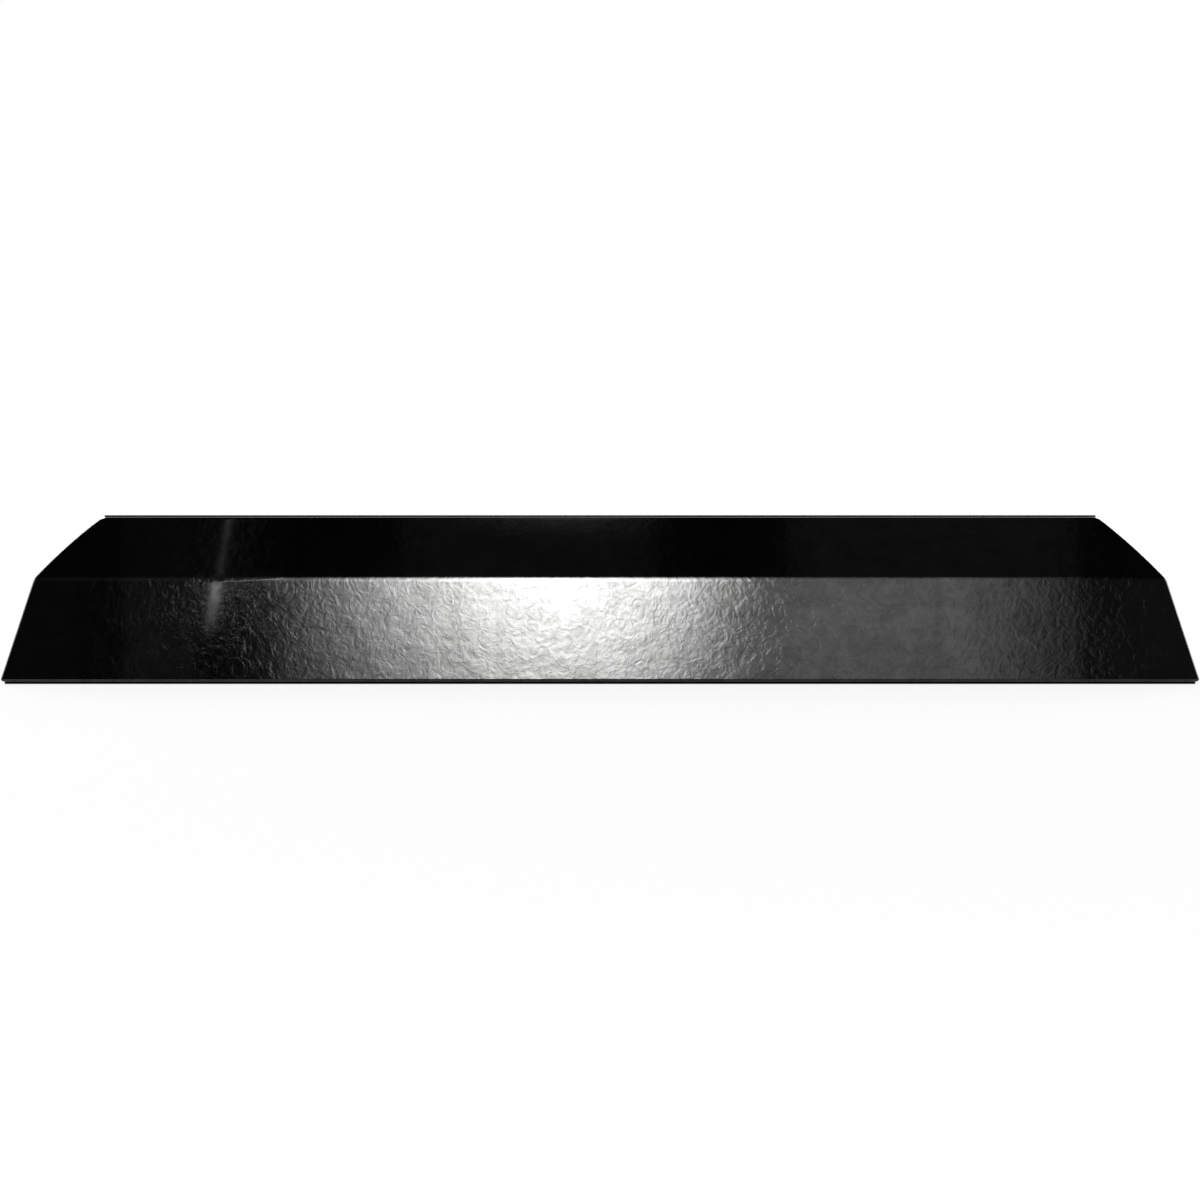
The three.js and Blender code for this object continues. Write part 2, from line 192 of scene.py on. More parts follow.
class Tree:
    """A node tree, with one method that makes any node of it."""

    def __init__(self, owner):
        owner.use_nodes = True
        self.tree = owner.node_tree
        self.tree.nodes.clear()

    def node(self, kind, settings=None, values=None, output=0):
        """Makes a node and gives a wire from one output, or from each where output is None."""
        made = self.tree.nodes.new(kind)
        for name, value in (settings or {}).items():
            if name == "stops":
                self._set_stops(made.color_ramp, value)
            else:
                setattr(made, name, value)
        for name, value in (values or {}).items():
            if isinstance(value, Wire):
                self.tree.links.new(value.socket, made.inputs[name])
            else:
                made.inputs[name].default_value = value
        if output is None:
            return [Wire(self, socket) for socket in made.outputs]
        return Wire(self, made.outputs[output]) if len(made.outputs) else made

    @staticmethod
    def _set_stops(ramp, stops):
        while len(ramp.elements) < len(stops):
            ramp.elements.new(1.0)
        for element, (position, shade) in zip(ramp.elements, stops):
            element.position = position
            element.color = (shade, shade, shade, 1)

    def place(self):
        return self.node("ShaderNodeTexCoord", output="Object")

    def noise(self, place, size, detail=2.0, roughness=0.5, distortion=0.0):
        return self.node("ShaderNodeTexNoise", None, {
            "Vector": place, "Scale": 1 / size, "Detail": detail,
            "Roughness": roughness, "Distortion": distortion,
        })

    def ramp(self, value, low, high):
        """0 below low, 1 above high, and a smooth step between."""
        settings = {"interpolation_type": "SMOOTHSTEP"}
        return self.node("ShaderNodeMapRange", settings, {0: value, 1: low, 2: high})

    def tint(self, amount, first, second):
        """A colour between two, mixed by amount."""
        values = {0: amount, 6: (*first, 1), 7: (*second, 1)}
        return self.node("ShaderNodeMix", {"data_type": "RGBA"}, values, output=2)

    def stretched(self, place, x, y, z):
        """The place, scaled differently along each direction."""
        return self.node("ShaderNodeMapping", {"vector_type": "POINT"}, {"Vector": place, "Scale": (x, y, z)})

    def split(self, place):
        """The x, y and z of a place."""
        return self.node("ShaderNodeSeparateXYZ", None, {0: place}, output=None)

    def glow(self, strength, colour=(1, 1, 1, 1)):
        return self.node("ShaderNodeEmission", None, {"Color": colour, "Strength": strength})

    def bump(self, height, distance):
        return self.node("ShaderNodeBump", None, {"Strength": 1.0, "Distance": distance, "Height": height})

    def surface(self, shader):
        self.node("ShaderNodeOutputMaterial", None, {"Surface": shader})


def material(name):
    made = bpy.data.materials.new(name)
    return made, Tree(made)


def gloss_enamel():
    """Fired black enamel: glossy over a fine curling wrinkle, a little brighter and duller by turns."""
    made, tree = material("gloss_enamel")
    place = tree.place()
    upright = tree.stretched(place, 1, 1, 0.95)
    folds = tree.noise(upright, 14 * MM, 2.5, 0.48, 2.0)
    crease = tree.ramp(abs(folds - 0.5), 0.0, 0.06)
    wrinkle = tree.noise(upright, 9 * MM, 2.5, 0.48, 1.8)
    fine = tree.noise(place, 1.3 * MM, 2.0, 0.6)
    patches = tree.noise(place, 20 * MM, 3.0, 0.6)
    drawn = tree.noise(tree.stretched(place, 0.10, 1, 1), 6 * MM, 2.0, 0.55)
    height = (0.9 * wrinkle + 0.7 * folds) * (0.5 + patches) + 0.035 * crease + 0.02 * fine
    dust = tree.ramp(tree.noise(place, 0.7 * MM, 2.0, 0.7), 0.68, 0.8)
    bright = 0.15 * tree.ramp(wrinkle, 0.38, 0.62) + 0.18 * tree.ramp(patches, 0.38, 0.62)
    gloss = 0.17 + 0.10 * crease + bright + 0.30 * (drawn - 0.5)
    black = tree.tint(patches * 0.5 + dust * 0.3, (0.0005, 0.0007, 0.0008), (0.0018, 0.0021, 0.0023))
    shader = tree.node("ShaderNodeBsdfPrincipled", None, {
        "Base Color": black,
        "Roughness": 0.07 + 0.03 * patches + 0.05 * dust,
        "IOR": 1.5,
        "Specular IOR Level": 0.36,
        "Coat Weight": gloss,
        "Coat Roughness": 0.04,
        "Coat IOR": 1.55,
        "Normal": tree.bump(height, 0.15 * MM),
    })
    tree.surface(shader)
    return made


def ground_enamel():
    """The thin, duller ground coat on the inside of the sheet, with pale pinholes and run marks."""
    made, tree = material("ground_enamel")
    place = tree.place()
    peel = tree.noise(place, 2.2 * MM, 3.0, 0.65)
    runs = tree.noise(tree.stretched(place, 1, 1, 0.18), 14 * MM, 3.0, 0.6, 0.6)
    pinholes = tree.ramp(tree.noise(place, 1.6 * MM, 1.0, 0.4), 0.70, 0.76)
    shader = tree.node("ShaderNodeBsdfPrincipled", None, {
        "Base Color": tree.tint(0.7 * runs + 0.5 * pinholes, (0.009, 0.010, 0.012), (0.036, 0.038, 0.042)),
        "Roughness": 0.36 + 0.22 * runs + 0.12 * pinholes,
        "Normal": tree.bump(peel + 1.4 * runs, 0.12 * MM),
    })
    tree.surface(shader)
    return made


def galvanised():
    """Hot-dip galvanised sheet: frosty spangles of slightly different brightness, with rolling lines."""
    made, tree = material("galvanised_sheet")
    place = tree.place()
    swirl = {"Vector": place, "Scale": 1 / (5 * MM), "Detail": 2.0}
    warp = tree.node("ShaderNodeTexNoise", None, swirl, "Color")
    bent = tree.node("ShaderNodeMix", {"data_type": "VECTOR"}, {0: 0.0022, 4: place, 5: warp}, output=1)
    cells = {"Vector": bent, "Scale": 1 / (4.2 * MM)}
    spangle = tree.node("ShaderNodeTexVoronoi", {"feature": "F1"}, cells, "Color")
    shade = tree.node("ShaderNodeSeparateColor", None, {"Color": spangle}, "Red")
    edge = tree.node("ShaderNodeTexVoronoi", {"feature": "DISTANCE_TO_EDGE"}, cells, "Distance")
    rolled = tree.noise(tree.stretched(place, 0.06, 1, 1), 0.8 * MM, 2.0, 0.6)
    stain = tree.ramp(tree.noise(place, 22 * MM, 4.0, 0.6), 0.52, 0.74)
    bright = 0.6 * shade + 0.4 * rolled
    ridges = 0.5 * shade + 0.6 * rolled + 0.2 * tree.ramp(edge, 0.0, 0.08)
    shader = tree.node("ShaderNodeBsdfPrincipled", None, {
        "Base Color": tree.tint(bright - 0.45 * stain, (0.33, 0.345, 0.36), (0.70, 0.715, 0.73)),
        "Metallic": 1.0,
        "Roughness": 0.30 + 0.20 * shade + 0.14 * stain,
        "Normal": tree.bump(ridges, 0.02 * MM),
    })
    tree.surface(shader)
    return made


def spot_welded(first_height, second_height):
    """Galvanised sheet with two rows of spot welds along X, each a shallow dimple in a burnt ring."""
    made, tree = material("spot_welded_sheet")
    place = tree.place()
    x, _, z = tree.split(place)
    along = tree.node("ShaderNodeMath", {"operation": "PINGPONG"}, {0: x, 1: WELD_PITCH / 2})
    shade = tree.noise(place, 3.6 * MM, 3.0, 0.7)
    rolled = tree.noise(tree.stretched(place, 0.05, 1, 1), 0.8 * MM, 2.0, 0.6)
    dimple, ring = None, None
    for height in (first_height, second_height):
        up = z - height
        far = (along * along + up * up) ** 0.5
        hole = 1.0 - tree.ramp(far, 1.9 * MM, 2.9 * MM)
        halo = tree.ramp(far, 2.2 * MM, 3.0 * MM) * (1.0 - tree.ramp(far, 3.0 * MM, 6.0 * MM))
        dimple = hole if dimple is None else dimple + hole
        ring = halo if ring is None else ring + halo
    sheet = 0.65 * shade + 0.35 * rolled
    tinted = tree.tint(sheet, (0.36, 0.375, 0.39), (0.72, 0.735, 0.75))
    heat = {0: ring * 0.75, 6: tinted, 7: (0.17, 0.11, 0.07, 1)}
    burnt = tree.node("ShaderNodeMix", {"data_type": "RGBA"}, heat, output=2)
    shader = tree.node("ShaderNodeBsdfPrincipled", None, {
        "Base Color": burnt,
        "Metallic": 1.0,
        "Roughness": 0.30 + 0.16 * shade + 0.2 * ring,
        "Normal": tree.bump(0.05 * sheet - dimple, 0.35 * MM),
    })
    tree.surface(shader)
    return made


def zinc_plate():
    """Bright zinc plate with a faint blue and yellow passivation and handling marks."""
    made, tree = material("zinc_plate")
    place = tree.place()
    film = tree.noise(place, 6 * MM, 2.0, 0.5)
    rub = tree.noise(place, 0.5 * MM, 3.0, 0.7)
    shader = tree.node("ShaderNodeBsdfPrincipled", None, {
        "Base Color": tree.tint(tree.ramp(film, 0.35, 0.65), (0.62, 0.66, 0.72), (0.78, 0.755, 0.68)),
        "Metallic": 1.0,
        "Roughness": 0.20 + 0.16 * rub,
        "Normal": tree.bump(rub, 0.012 * MM),
    })
    tree.surface(shader)
    return made


def seal_rubber():
    """Extruded black rubber: matt, with a fine skin and grey bloom."""
    made, tree = material("seal_rubber")
    place = tree.place()
    skin = tree.noise(place, 0.45 * MM, 3.0, 0.65)
    bloom = tree.ramp(tree.noise(place, 12 * MM, 4.0, 0.65), 0.45, 0.75)
    shader = tree.node("ShaderNodeBsdfPrincipled", None, {
        "Base Color": tree.tint(0.55 * bloom + 0.25 * skin, (0.003, 0.003, 0.0033), (0.018, 0.0175, 0.017)),
        "Roughness": 0.80 + 0.14 * bloom,
        "Specular IOR Level": 0.06,
        "Normal": tree.bump(skin, 0.05 * MM),
    })
    tree.surface(shader)
    return made


# ---------------------------------------------------------------- mesh helpers

def vertices_in(geometry):
    return [g for g in geometry if isinstance(g, bmesh.types.BMVert)]


def edges_in(geometry):
    return [g for g in geometry if isinstance(g, bmesh.types.BMEdge)]


def close_holes(bm):
    rim = [e for e in bm.edges if e.is_boundary]
    bmesh.ops.holes_fill(bm, edges=rim, sides=0)


def outwards(bm):
    bmesh.ops.remove_doubles(bm, verts=bm.verts[:], dist=1e-7)
    bmesh.ops.recalc_face_normals(bm, faces=bm.faces[:])


def folds_of(bm):
    """The edges that join two faces."""
    return [e for e in bm.edges if len(e.link_faces) == 2]


def everything_in(bm):
    return bm.verts[:] + bm.edges[:] + bm.faces[:]


def face_front(bm, chosen):
    """Makes the normals agree, and turns them all round if the chosen face's points to the rear."""
    bmesh.ops.recalc_face_normals(bm, faces=bm.faces[:])
    if chosen().normal.y > 0:
        bmesh.ops.reverse_faces(bm, faces=bm.faces[:])


def ease(bm, geometry, width, segments=2, affect="EDGES"):
    """Rounds edges or corners by a width into each face."""
    bmesh.ops.bevel(bm, geom=geometry, offset=width, offset_type="OFFSET", segments=segments,
                    profile=0.5, affect=affect, material=-1)


def bend(bm, edges, radius, segments):
    """Rounds edges to an outer radius; they all turn by the same angle."""
    turn = edges[0].calc_face_angle()
    ease(bm, edges, radius * math.tan(turn / 2), segments)


def round_sharp(bm, width, angle=60, segments=2):
    """Softens every edge that is sharper than the angle."""
    sharp = [e for e in folds_of(bm) if e.calc_face_angle() > math.radians(angle)]
    ease(bm, sharp, width, segments)


def keep_side(bm, point, normal):
    """Cuts at a plane, drops what the normal points to and closes the cut."""
    bmesh.ops.bisect_plane(bm, geom=everything_in(bm), dist=1e-7, plane_co=point, plane_no=normal,
                           clear_outer=True)
    close_holes(bm)


def thicken(bm, thickness):
    """Gives a sheet its thickness behind the side its normals show; the new inner faces get material 1."""
    skin = set(bm.faces)
    bmesh.ops.solidify(bm, geom=bm.faces[:], thickness=thickness)
    for face in bm.faces:
        face.material_index = 0 if face in skin else 1


def round_rim(bm, width):
    """Softens both edges of a sheet's rim, the band of faces that joins its outer skin to its inner one."""
    rim = {f for e in folds_of(bm) for f in e.link_faces
           if f.material_index == 1 and any(o.material_index == 0 for o in e.link_faces)}
    lips = [e for e in bm.edges if len({f in rim for f in e.link_faces}) == 2]
    ease(bm, lips, width)


def mesh_from(name, bm):
    mesh = bpy.data.meshes.new(name)
    bm.to_mesh(mesh)
    bm.free()
    return mesh


def add_object(name, data):
    made = bpy.data.objects.new(name, data)
    bpy.context.scene.collection.objects.link(made)
    return made


def join_mesh(bm, name, other):
    """Adds a copy of another bmesh, which is freed."""
    mesh = mesh_from(name, other)
    bm.from_mesh(mesh)
    bpy.data.meshes.remove(mesh)


def piece(name, bm, body, nodes, materials, smooth=40, level_flats=True):
    """Makes the mesh an object that rides on a body and stands for CAD nodes."""
    mesh = mesh_from(name, bm)
    for one in materials:
        mesh.materials.append(one)
    mesh.shade_smooth()
    mesh.set_sharp_from_angle(angle=math.radians(smooth))
    made = add_object(name, mesh)
    if level_flats:
        level = made.modifiers.new("level_flats", "WEIGHTED_NORMAL")
        level.mode = "FACE_AREA"
        level.keep_sharp = True
    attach(made, body)
    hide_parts(*nodes)
    return made


# ---------------------------------------------------------------- the enamelled shell

def setback(point):
    """How far a point lies behind the foot line, on the front or on a return."""
    return min(point.y - FOOT_Y, HALF_FOOT - abs(point.x))


def on_mitre(point):
    return abs((point.y - FOOT_Y) - (HALF_FOOT - abs(point.x))) < 1e-6


def runs_at(bm, inset, height):
    """The edges that run along the plate at one setback and height."""
    def here(vert):
        return abs(setback(vert.co) - inset) < 1e-6 and abs(vert.co.z - height) < 1e-6
    return [e for e in bm.edges if here(e.verts[0]) and here(e.verts[1])]


def profile_wire(bm):
    """Half a section of the outer skin: bottom flange, lower face, bowed upper face, top flange."""
    fold = Vector((0, FOOT_Y + LOWER_SETBACK, BOTTOM + LOWER_RISE))
    top = Vector((0, TOP_Y, TOP))
    chord = top - fold
    radius = (chord.length ** 2 / 4 + UPPER_CROWN ** 2) / (2 * UPPER_CROWN)
    inward = Vector((0, chord.z, -chord.y)).normalized()
    centre = (fold + top) / 2 + inward * (radius - UPPER_CROWN)
    sweep = 2 * math.asin(chord.length / 2 / radius)
    start = bm.verts.new(fold)
    arc = bmesh.ops.spin(bm, geom=[start], cent=centre, axis=(1, 0, 0), angle=-sweep,
                         steps=CROWN_STEPS)
    end = vertices_in(arc["geom_last"])[0]
    foot = bm.verts.new((0, FOOT_Y, BOTTOM))
    lip = bm.verts.new((0, FOOT_Y + BOTTOM_FLANGE, BOTTOM))
    rear = bm.verts.new((0, REAR, TOP))
    for pair in ((lip, foot), (foot, start), (end, rear)):
        bm.edges.new(pair)


def shell_skin():
    """The outer skin of the front and both returns in one, before it has a thickness."""
    bm = bmesh.new()
    profile_wire(bm)
    front = bmesh.ops.extrude_edge_only(bm, edges=bm.edges[:])["geom"]
    corner = vertices_in(front)
    for vert in corner:
        vert.co.x = HALF_FOOT - (vert.co.y - FOOT_Y)
    hip = [e for e in edges_in(front) if e.verts[0] in corner and e.verts[1] in corner]
    for vert in vertices_in(bmesh.ops.extrude_edge_only(bm, edges=hip)["geom"]):
        vert.co.y = REAR
    bmesh.ops.remove_doubles(bm, verts=bm.verts[:], dist=1e-6)
    bmesh.ops.mirror(bm, geom=everything_in(bm), matrix=Matrix.Identity(4), merge_dist=1e-6, axis="X")
    middle = [e for e in bm.edges if all(abs(v.co.x) < 1e-6 for v in e.verts)]
    bmesh.ops.dissolve_edges(bm, edges=middle, use_verts=True)
    face_front(bm, lambda: max(bm.faces, key=lambda f: f.calc_area()))
    bend(bm, runs_at(bm, 0, BOTTOM), FOOT_BEND, 8)
    bend(bm, runs_at(bm, LOWER_SETBACK, BOTTOM + LOWER_RISE), FOLD_BEND, 8)
    bend(bm, runs_at(bm, LOWER_SETBACK + UPPER_SETBACK, TOP), TOP_BEND, 6)
    hips = [e for e in bm.edges if on_mitre(e.verts[0].co) and on_mitre(e.verts[1].co)
            and e.verts[0].co.x * e.verts[1].co.x > 0]
    turning = [e for e in hips if e.calc_face_angle() > math.radians(4)]
    ease(bm, turning, HIP_ROUND, 6)
    return bm


def pierce(bm, face, rings):
    """Opens round holes, each a ring of edges in its plane, in one flat face."""
    normal = face.normal.copy()
    rim = list(face.edges)
    bmesh.ops.delete(bm, geom=[face], context="FACES_ONLY")
    bmesh.ops.triangle_fill(bm, use_beauty=True, edges=rim + rings, normal=normal)


def ring_at(bm, place, radius, steps=ROUND_STEPS, pull=None):
    """A ring of edges; pull parts its two halves into a slot along the placed Y direction."""
    made = bmesh.ops.create_circle(bm, segments=steps, radius=radius)["verts"]
    edges = list({e for v in made for e in v.link_edges})
    if pull:
        bmesh.ops.rotate(bm, verts=made, cent=(0, 0, 0), matrix=Matrix.Rotation(math.pi / steps, 3, "Z"))
        for vert in made:
            vert.co.y += math.copysign(pull, vert.co.y)
    bmesh.ops.transform(bm, matrix=place, verts=made)
    return edges


def make_shell(enamel, ground):
    """The whole shell with its stud holes, cut at both mitres into the front panel and the end returns."""
    bm = shell_skin()
    flange = max((f for f in bm.faces if f.normal.z > 0.999), key=lambda f: f.calc_area())
    rings = []
    for station in STATIONS:
        low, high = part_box(f"clinch_stud_{station}")
        middle = (low + high) / 2
        place = Matrix.Translation((middle.x, middle.y, TOP))
        rings += ring_at(bm, place, (high.x - low.x) / 2 + STUD_HOLE_GAP)
    pierce(bm, flange, rings)
    thicken(bm, SHEET)
    round_rim(bm, RIM_ROUND)
    whole = mesh_from("whole_shell", bm)
    corner = {side: Vector((side * HALF_FOOT, FOOT_Y, 0)) for side in (-1, 1)}

    front = bmesh.new()
    front.from_mesh(whole)
    for side in (-1, 1):
        away = Vector((side, 1, 0)).normalized()
        keep_side(front, corner[side] - away * WELD_LINE, away)
    piece("front_panel_sheet", front, "plate", ["front_panel"], [enamel, ground])
    for name, side in (("left", -1), ("right", 1)):
        towards = Vector((-side, -1, 0)).normalized()
        end = bmesh.new()
        end.from_mesh(whole)
        keep_side(end, corner[side] - towards * WELD_LINE, towards)
        loose = [v for v in end.verts if v.co.x * side < 0]
        bmesh.ops.delete(end, geom=loose, context="VERTS")
        piece(f"end_return_{name}_sheet", end, "plate", [f"end_return_{name}"],
              [enamel, ground])
    bpy.data.meshes.remove(whole)


# ---------------------------------------------------------------- inner stiffening

def behind_lower_face(up, depth, x=0.0):
    """A point by its height up the leaning lower face and its depth behind the outer skin."""
    y = FOOT_Y + up * math.sin(LEAN) + depth * math.cos(LEAN)
    return Vector((x, y, BOTTOM + up * math.cos(LEAN) - depth * math.sin(LEAN)))


def make_stiffener():
    """A folded channel whose two lips are welded to the back of the lower face."""
    low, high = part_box("rear_stiffener")
    near = SHEET + INNER_GAP
    far = near + STIFFENER_DEPTH - STIFFENER_SHEET
    foot, head = STIFFENER_BOTTOM, STIFFENER_BOTTOM + STIFFENER_HEIGHT
    route = [
        (foot, near), (foot + STIFFENER_LIP, near), (foot + STIFFENER_LIP + STIFFENER_FLARE, far),
        (head - STIFFENER_LIP - STIFFENER_FLARE, far), (head - STIFFENER_LIP, near), (head, near),
    ]
    bm = bmesh.new()
    corners = [bm.verts.new(behind_lower_face(up, depth, low.x)) for up, depth in route]
    for pair in zip(corners, corners[1:]):
        bm.edges.new(pair)
    run = vertices_in(bmesh.ops.extrude_edge_only(bm, edges=bm.edges[:])["geom"])
    bmesh.ops.translate(bm, verts=run, vec=(high.x - low.x, 0, 0))
    face_front(bm, lambda: bm.faces[:][0])
    ease(bm, folds_of(bm), STIFFENER_EASE, 5)
    bmesh.ops.solidify(bm, geom=bm.faces[:], thickness=STIFFENER_SHEET)
    round_sharp(bm, INNER_ROUND)
    rows = [behind_lower_face(up, near).z for up in (foot + STIFFENER_LIP / 2, head - STIFFENER_LIP / 2)]
    piece("rear_stiffener_channel", bm, "plate", ["rear_stiffener"],
          [spot_welded(*rows)])


def make_gussets(metal):
    """An angle inside each mitre: the lower face's own slope, on the front and round onto the return."""
    depth = SHEET + INNER_GAP
    for name, side in (("left", -1), ("right", 1)):
        low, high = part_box(f"corner_gusset_{name}")
        bm = bmesh.new()
        inner_end = high.x if side < 0 else low.x
        points = [behind_lower_face(up, depth, inner_end) for up in (GUSSET_BOTTOM, GUSSET_TOP)]
        end = bm.edges.new([bm.verts.new(point) for point in points])
        corner = vertices_in(bmesh.ops.extrude_edge_only(bm, edges=[end])["geom"])
        for vert in corner:
            vert.co.x = side * (HALF_FOOT - (vert.co.y - FOOT_Y))
        hip = [e for e in bm.edges if e.verts[0] in corner and e.verts[1] in corner]
        for vert in vertices_in(bmesh.ops.extrude_edge_only(bm, edges=hip)["geom"]):
            vert.co.y = high.y
        face_front(bm, lambda: min(bm.faces, key=lambda f: f.calc_center_median().y))
        bend(bm, folds_of(bm), GUSSET_BEND, 6)
        corners = [v for v in bm.verts if len(v.link_faces) == 1 and len(v.link_edges) == 2]
        ease(bm, corners, GUSSET_CORNER, 5, "VERTICES")
        bmesh.ops.solidify(bm, geom=bm.faces[:], thickness=GUSSET_SHEET)
        round_sharp(bm, INNER_ROUND)
        piece(f"corner_gusset_{name}_angle", bm, "plate", [f"corner_gusset_{name}"],
              [metal])


# ---------------------------------------------------------------- seals

def rubber_strip(plan, bottom, top):
    """A flat strip with softened edges, from the outline of its plan."""
    bm = bmesh.new()
    face = bm.faces.new([bm.verts.new((x, y, bottom)) for x, y in plan])
    raised = bmesh.ops.extrude_face_region(bm, geom=[face])["geom"]
    bmesh.ops.translate(bm, verts=vertices_in(raised), vec=(0, 0, top - bottom))
    outwards(bm)
    round_sharp(bm, SEAL_ROUND, segments=3)
    return bm


def make_seals(rubber):
    """The floor seal goes round three sides; the top seal is straight."""
    low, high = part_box("floor_seal")
    left, right, front = low.x + SEAL_WIDTH, high.x - SEAL_WIDTH, low.y + SEAL_WIDTH
    plan = [
        (low.x, high.y), (low.x, low.y), (high.x, low.y), (high.x, high.y),
        (right, high.y), (right, front), (left, front), (left, high.y),
    ]
    strip = rubber_strip(plan, low.z, high.z)
    piece("floor_seal_strip", strip, "plate", ["floor_seal"], [rubber])
    low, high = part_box("top_seal")
    plan = [(low.x, low.y), (high.x, low.y), (high.x, high.y), (low.x, high.y)]
    strip = rubber_strip(plan, low.z, high.z)
    piece("top_seal_strip", strip, "plate", ["top_seal"], [rubber])


# ---------------------------------------------------------------- brackets and fasteners

def leg(length, width, slot_middle, slot_length, place):
    """One flat leg, from its root at y = 0 to its rounded end, with a slot along it, then placed."""
    bm = bmesh.new()
    half = width / 2
    root = [bm.verts.new((-half, 0, 0)), bm.verts.new((half, 0, 0))]
    tips = [bm.verts.new((half, length, 0)), bm.verts.new((-half, length, 0))]
    bm.faces.new(root + tips)
    ease(bm, tips, BRACKET_CORNER, 8, "VERTICES")
    face = next(iter(bm.faces))
    pull = (slot_length - SLOT_WIDTH) / 2
    slot = ring_at(bm, Matrix.Translation((0, slot_middle, 0)), SLOT_WIDTH / 2, 32, pull)
    pierce(bm, face, slot)
    bmesh.ops.transform(bm, matrix=place, verts=bm.verts[:])
    return bm


def make_bracket(station, metal):
    """Two slotted legs joined by a bend, then given the sheet's thickness."""
    low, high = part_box(f"fixing_bracket_{station}")
    stud_low, stud_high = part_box(f"clinch_stud_{station}")
    middle, width = (low.x + high.x) / 2, high.x - low.x
    stud = (stud_low.y + stud_high.y) / 2
    start = Vector((middle, high.y - BRACKET_BEND, high.z))
    forward = Matrix.Translation(start) @ Matrix.Rotation(math.pi, 4, "Z")
    corner = Matrix.Translation((middle, high.y, high.z - BRACKET_BEND))
    down = corner @ Matrix.Rotation(-math.pi / 2, 4, "X")
    drop = high.z - BRACKET_BEND - low.z
    slot_up = drop - HEIGHT_SLOT_BOTTOM - HEIGHT_SLOT / 2
    bm = bmesh.new()
    join_mesh(bm, "leg", leg(start.y - low.y, width, start.y - stud, SLOT_WIDTH + DEPTH_TRAVEL, forward))
    join_mesh(bm, "leg", leg(drop, width, slot_up, HEIGHT_SLOT, down))
    root = [e for e in bm.edges if all(abs(v.co.y - start.y) < 1e-6 for v in e.verts)]
    root += list({v for e in root for v in e.verts})
    pivot = start - Vector((0, 0, BRACKET_BEND))
    bmesh.ops.spin(bm, geom=root, cent=pivot, axis=(1, 0, 0), angle=-math.pi / 2, steps=8)
    bmesh.ops.remove_doubles(bm, verts=bm.verts[:], dist=1e-6)
    bmesh.ops.recalc_face_normals(bm, faces=bm.faces[:])
    if max(bm.faces, key=lambda f: f.calc_center_median().z).normal.z < 0:
        bmesh.ops.reverse_faces(bm, faces=bm.faces[:])
    bmesh.ops.solidify(bm, geom=bm.faces[:], thickness=BRACKET_SHEET)
    round_sharp(bm, BRACKET_ROUND)
    piece(f"fixing_bracket_{station}_sheet", bm, f"bracket_{station}", [f"fixing_bracket_{station}"],
          [metal])


def turned(profile, x, y):
    """Spins a profile of (radius, height) points round an upright axis, and closes it on the axis."""
    bm = bmesh.new()
    points = [bm.verts.new((x + radius, y, z)) for radius, z in profile]
    for pair in zip(points, points[1:]):
        bm.edges.new(pair)
    bmesh.ops.spin(bm, geom=bm.verts[:] + bm.edges[:], cent=(x, y, 0), axis=(0, 0, 1),
                   angle=2 * math.pi, steps=ROUND_STEPS, use_merge=True)
    outwards(bm)
    return bm


def make_stud(station, metal):
    """A flush head, a plain collar and a thread of ring grooves."""
    low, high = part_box(f"clinch_stud_{station}")
    x, y = (low.x + high.x) / 2, (low.y + high.y) / 2
    head = (high.x - low.x) / 2
    under = high.z - SHEET
    neck = under - STUD_COLLAR
    core = THREAD_RADIUS - THREAD_DEPTH
    turns = int((neck - low.z - STUD_TIP) / THREAD_PITCH)
    profile = [(0, high.z), (head - STUD_ROUND, high.z), (head, high.z - STUD_ROUND), (head, under)]
    profile += [(THREAD_RADIUS, under), (THREAD_RADIUS, neck)]
    for turn in range(turns):
        top = neck - turn * THREAD_PITCH
        profile += [(core, top - 0.35 * THREAD_PITCH), (core, top - 0.5 * THREAD_PITCH)]
        profile += [(THREAD_RADIUS, top - 0.85 * THREAD_PITCH), (THREAD_RADIUS, top - THREAD_PITCH)]
    profile += [(core, low.z), (0, low.z)]
    piece(f"clinch_stud_{station}_thread", turned(profile, x, y), "plate", [f"clinch_stud_{station}"],
          [metal], smooth=25)


def make_washer(station, metal):
    low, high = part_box(f"flat_washer_{station}")
    x, y = (low.x + high.x) / 2, (low.y + high.y) / 2
    outer, soft = (high.x - low.x) / 2, WASHER_ROUND
    profile = [
        (HOLE_RADIUS, low.z), (outer - soft, low.z), (outer, low.z + soft), (outer, high.z - soft),
        (outer - soft, high.z), (HOLE_RADIUS + soft, high.z), (HOLE_RADIUS, high.z - soft),
        (HOLE_RADIUS, low.z),
    ]
    piece(f"flat_washer_{station}_disc", turned(profile, x, y), "plate", [f"flat_washer_{station}"],
          [metal], smooth=25)


